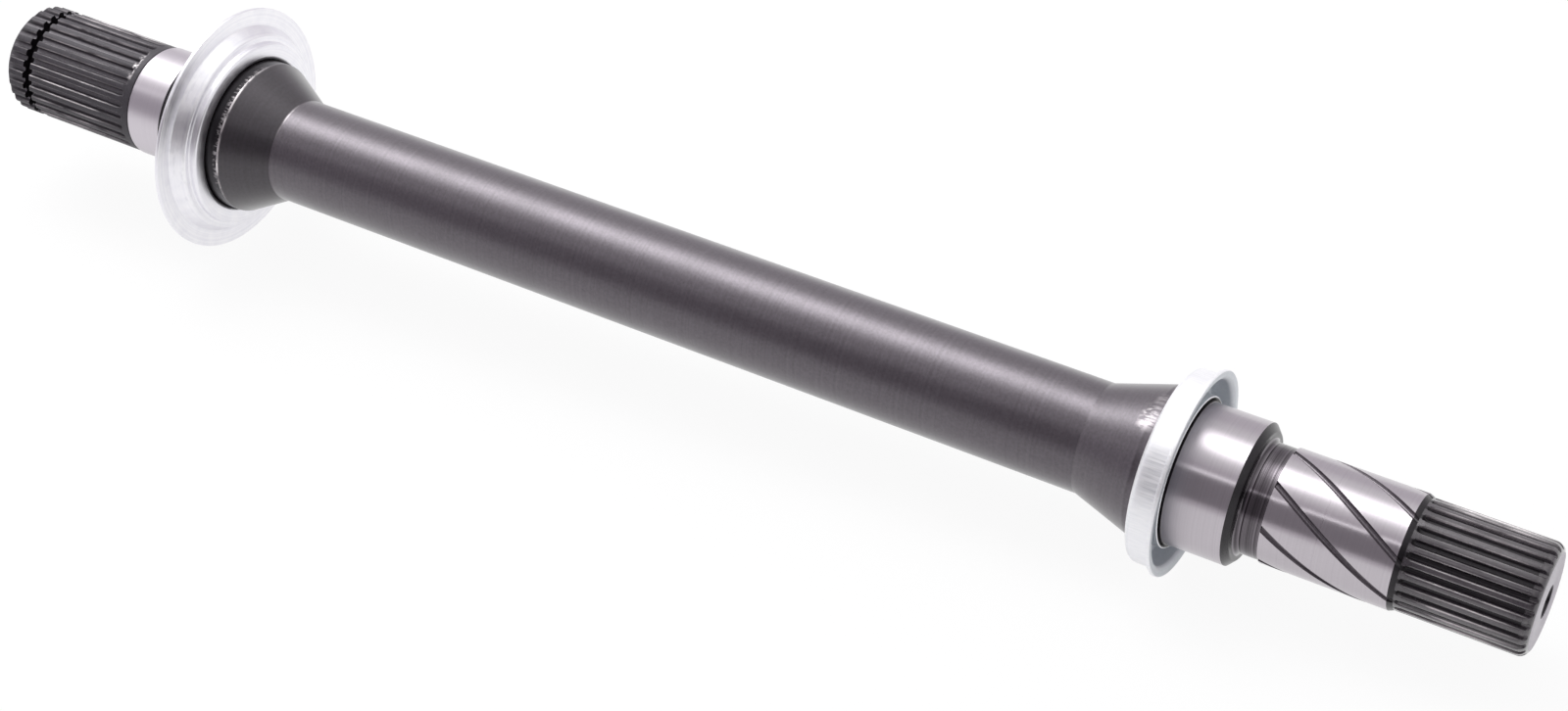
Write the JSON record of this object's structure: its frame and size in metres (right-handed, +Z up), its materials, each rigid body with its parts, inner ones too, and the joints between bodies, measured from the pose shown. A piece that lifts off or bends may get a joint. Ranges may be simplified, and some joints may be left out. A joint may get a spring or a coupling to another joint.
{
  "type": "axle shaft",
  "caption": "Turned steel axle shaft with a splined end on each side, a bearing seat, a seal land, an oil-grooved journal and two pressed dust shields.",
  "frame": {"origin": "centre of the bearing seat, on the shaft's axis", "axes": "+X along the shaft towards the gearbox end, +Z up, -Y the front in the picture"},
  "size_m": [0.429, 0.0662, 0.0662],
  "materials": {
    "shaft_steel": "dark phosphated steel with bright ground seats",
    "plated_sheet": "bright zinc-plated pressed sheet"
  },
  "bodies": {
    "root": {"shaft": "shaft_steel", "bearing_shield": "plated_sheet", "seal_dust_cover": "plated_sheet"}
  },
  "joints": []
}
